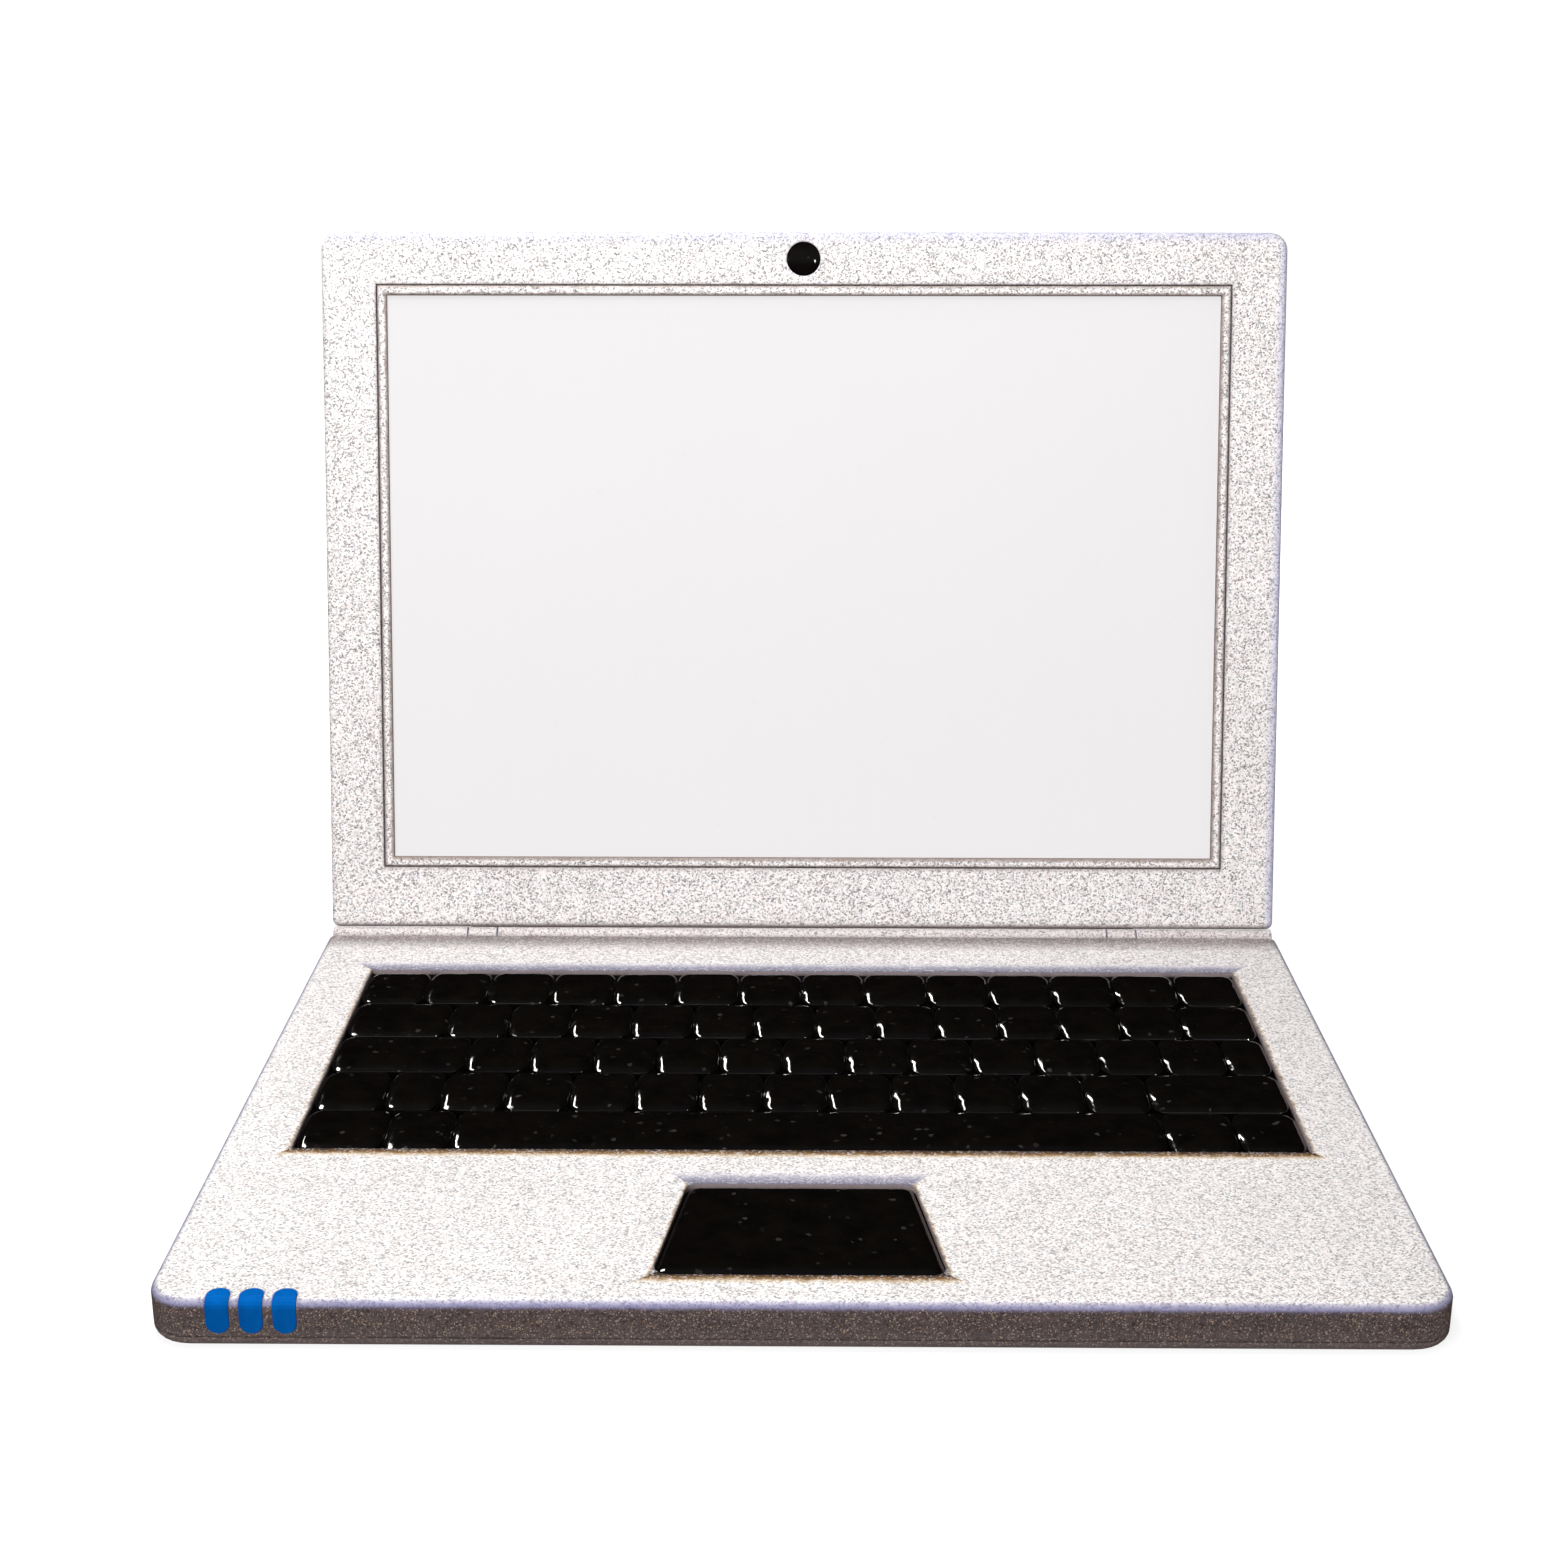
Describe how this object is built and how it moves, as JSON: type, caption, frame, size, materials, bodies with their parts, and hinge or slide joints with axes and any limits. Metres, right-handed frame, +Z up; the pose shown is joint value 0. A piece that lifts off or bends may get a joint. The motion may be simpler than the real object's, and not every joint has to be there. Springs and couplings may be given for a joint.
{
  "type": "laptop computer",
  "caption": "Clamshell laptop with a friction-hinged lid, framed screen with camera, black scissor keyboard, click trackpad and three blue status lights on the front edge.",
  "frame": {"origin": "centre of the base's footprint, on the desk under the feet", "axes": "+X to the user's right, +Y away from the user towards the hinge, +Z up"},
  "size_m": [0.324, 0.3007, 0.244],
  "materials": {
    "silver_shell": "satin",
    "black_gloss": "gloss",
    "light_blue": "gloss",
    "screen_pale": "gloss",
    "display_back": "satin",
    "hinge_metal": "satin",
    "screw_steel": "satin",
    "plate_metal": "satin",
    "dome_rubber": "matte",
    "foot_rubber": "matte",
    "link_plastic": "matte",
    "dark_plastic": "matte",
    "board": "satin",
    "silicon": "gloss",
    "copper": "satin",
    "cell_foil": "satin",
    "port_steel": "satin"
  },
  "bodies": {
    "base": {"top_case": "silver_shell", "bottom_cover": "silver_shell", "cover_screws": "screw_steel", "rubber_feet": "foot_rubber", "status_lights": "light_blue", "status_board": "board", "keyboard_plate": "plate_metal", "dome_sheet": "dome_rubber", "key_scissors": "link_plastic", "trackpad_frame": "plate_metal", "trackpad_switch": "dark_plastic", "main_board": "board", "processor": "silicon", "memory_chips": "dark_plastic", "storage_drive": "board", "wireless_card": "board", "heat_pipe": "copper", "heat_sink": "copper", "fan_housing": "dark_plastic", "battery_tray": "dark_plastic", "battery_cells": "cell_foil", "speaker_left": "dark_plastic", "speaker_right": "dark_plastic", "power_jack": "dark_plastic", "usb_ports": "port_steel", "audio_jack": "dark_plastic", "hinge_base_left": "hinge_metal", "hinge_base_right": "hinge_metal", "hinge_screws": "screw_steel"},
    "lid": {"hinge_lid_left": "hinge_metal", "hinge_lid_right": "hinge_metal", "hinge_cover": "silver_shell", "display_cable": "dark_plastic", "lid_cover": "silver_shell", "screen_bezel": "silver_shell", "screen_trim": "silver_shell", "display_glass": "screen_pale", "display_chassis": "display_back", "camera_lens": "black_gloss", "camera_board": "board", "antennas": "copper", "lid_screws": "screw_steel"},
    "fan": {"fan_rotor": "dark_plastic"},
    "pad": {"trackpad": "black_gloss"},
    "keys_number_row_body": {"keys_number_row": "black_gloss"},
    "key_backspace_body": {"key_backspace": "black_gloss"},
    "key_tab_body": {"key_tab": "black_gloss"},
    "keys_upper_row_body": {"keys_upper_row": "black_gloss"},
    "key_backslash_body": {"key_backslash": "black_gloss"},
    "key_caps_lock_body": {"key_caps_lock": "black_gloss"},
    "keys_home_row_body": {"keys_home_row": "black_gloss"},
    "key_enter_body": {"key_enter": "black_gloss"},
    "key_shift_left_body": {"key_shift_left": "black_gloss"},
    "keys_lower_row_body": {"keys_lower_row": "black_gloss"},
    "key_shift_right_body": {"key_shift_right": "black_gloss"},
    "key_control_body": {"key_control": "black_gloss"},
    "key_alt_left_body": {"key_alt_left": "black_gloss"},
    "key_space_body": {"key_space": "black_gloss"},
    "key_alt_right_body": {"key_alt_right": "black_gloss"},
    "key_menu_body": {"key_menu": "black_gloss"}
  },
  "joints": [
    {"name": "lid_hinge", "type": "hinge", "parent": "base", "child": "lid", "pos_m": [0, 0.1175, 0.0131], "axis": [-1, 0, 0], "range_deg": [-103, 32]},
    {"name": "fan_spin", "type": "hinge", "parent": "base", "child": "fan", "pos_m": [-0.112, 0.078, 0.0032], "axis": [0, 0, 1], "continuous": true},
    {"name": "trackpad_click", "type": "hinge", "parent": "base", "child": "pad", "pos_m": [0, -0.0655, 0.01225], "axis": [1, 0, 0], "range_deg": [0, 0.6], "stiffness_Nm_per_rad": 40, "springref_deg": -0.17},
    {"name": "keys_number_row_press", "type": "slide", "parent": "base", "child": "keys_number_row_body", "axis": [0, 0, -1], "range_m": [0, 0.0015], "stiffness_N_per_m": 2340, "springref_m": -0.0015, "deforming": ["dome_sheet", "key_scissors"]},
    {"name": "key_backspace_press", "type": "slide", "parent": "base", "child": "key_backspace_body", "axis": [0, 0, -1], "range_m": [0, 0.0015], "stiffness_N_per_m": 180, "springref_m": -0.0015, "deforming": ["dome_sheet", "key_scissors"]},
    {"name": "key_tab_press", "type": "slide", "parent": "base", "child": "key_tab_body", "axis": [0, 0, -1], "range_m": [0, 0.0015], "stiffness_N_per_m": 180, "springref_m": -0.0015, "deforming": ["dome_sheet", "key_scissors"]},
    {"name": "keys_upper_row_press", "type": "slide", "parent": "base", "child": "keys_upper_row_body", "axis": [0, 0, -1], "range_m": [0, 0.0015], "stiffness_N_per_m": 2160, "springref_m": -0.0015, "deforming": ["dome_sheet", "key_scissors"]},
    {"name": "key_backslash_press", "type": "slide", "parent": "base", "child": "key_backslash_body", "axis": [0, 0, -1], "range_m": [0, 0.0015], "stiffness_N_per_m": 180, "springref_m": -0.0015, "deforming": ["dome_sheet", "key_scissors"]},
    {"name": "key_caps_lock_press", "type": "slide", "parent": "base", "child": "key_caps_lock_body", "axis": [0, 0, -1], "range_m": [0, 0.0015], "stiffness_N_per_m": 180, "springref_m": -0.0015, "deforming": ["dome_sheet", "key_scissors"]},
    {"name": "keys_home_row_press", "type": "slide", "parent": "base", "child": "keys_home_row_body", "axis": [0, 0, -1], "range_m": [0, 0.0015], "stiffness_N_per_m": 2160, "springref_m": -0.0015, "deforming": ["dome_sheet", "key_scissors"]},
    {"name": "key_enter_press", "type": "slide", "parent": "base", "child": "key_enter_body", "axis": [0, 0, -1], "range_m": [0, 0.0015], "stiffness_N_per_m": 180, "springref_m": -0.0015, "deforming": ["dome_sheet", "key_scissors"]},
    {"name": "key_shift_left_press", "type": "slide", "parent": "base", "child": "key_shift_left_body", "axis": [0, 0, -1], "range_m": [0, 0.0015], "stiffness_N_per_m": 180, "springref_m": -0.0015, "deforming": ["dome_sheet", "key_scissors"]},
    {"name": "keys_lower_row_press", "type": "slide", "parent": "base", "child": "keys_lower_row_body", "axis": [0, 0, -1], "range_m": [0, 0.0015], "stiffness_N_per_m": 2160, "springref_m": -0.0015, "deforming": ["dome_sheet", "key_scissors"]},
    {"name": "key_shift_right_press", "type": "slide", "parent": "base", "child": "key_shift_right_body", "axis": [0, 0, -1], "range_m": [0, 0.0015], "stiffness_N_per_m": 180, "springref_m": -0.0015, "deforming": ["dome_sheet", "key_scissors"]},
    {"name": "key_control_press", "type": "slide", "parent": "base", "child": "key_control_body", "axis": [0, 0, -1], "range_m": [0, 0.0015], "stiffness_N_per_m": 180, "springref_m": -0.0015, "deforming": ["dome_sheet", "key_scissors"]},
    {"name": "key_alt_left_press", "type": "slide", "parent": "base", "child": "key_alt_left_body", "axis": [0, 0, -1], "range_m": [0, 0.0015], "stiffness_N_per_m": 180, "springref_m": -0.0015, "deforming": ["dome_sheet", "key_scissors"]},
    {"name": "key_space_press", "type": "slide", "parent": "base", "child": "key_space_body", "axis": [0, 0, -1], "range_m": [0, 0.0015], "stiffness_N_per_m": 180, "springref_m": -0.0015, "deforming": ["dome_sheet", "key_scissors"]},
    {"name": "key_alt_right_press", "type": "slide", "parent": "base", "child": "key_alt_right_body", "axis": [0, 0, -1], "range_m": [0, 0.0015], "stiffness_N_per_m": 180, "springref_m": -0.0015, "deforming": ["dome_sheet", "key_scissors"]},
    {"name": "key_menu_press", "type": "slide", "parent": "base", "child": "key_menu_body", "axis": [0, 0, -1], "range_m": [0, 0.0015], "stiffness_N_per_m": 180, "springref_m": -0.0015, "deforming": ["dome_sheet", "key_scissors"]}
  ]
}
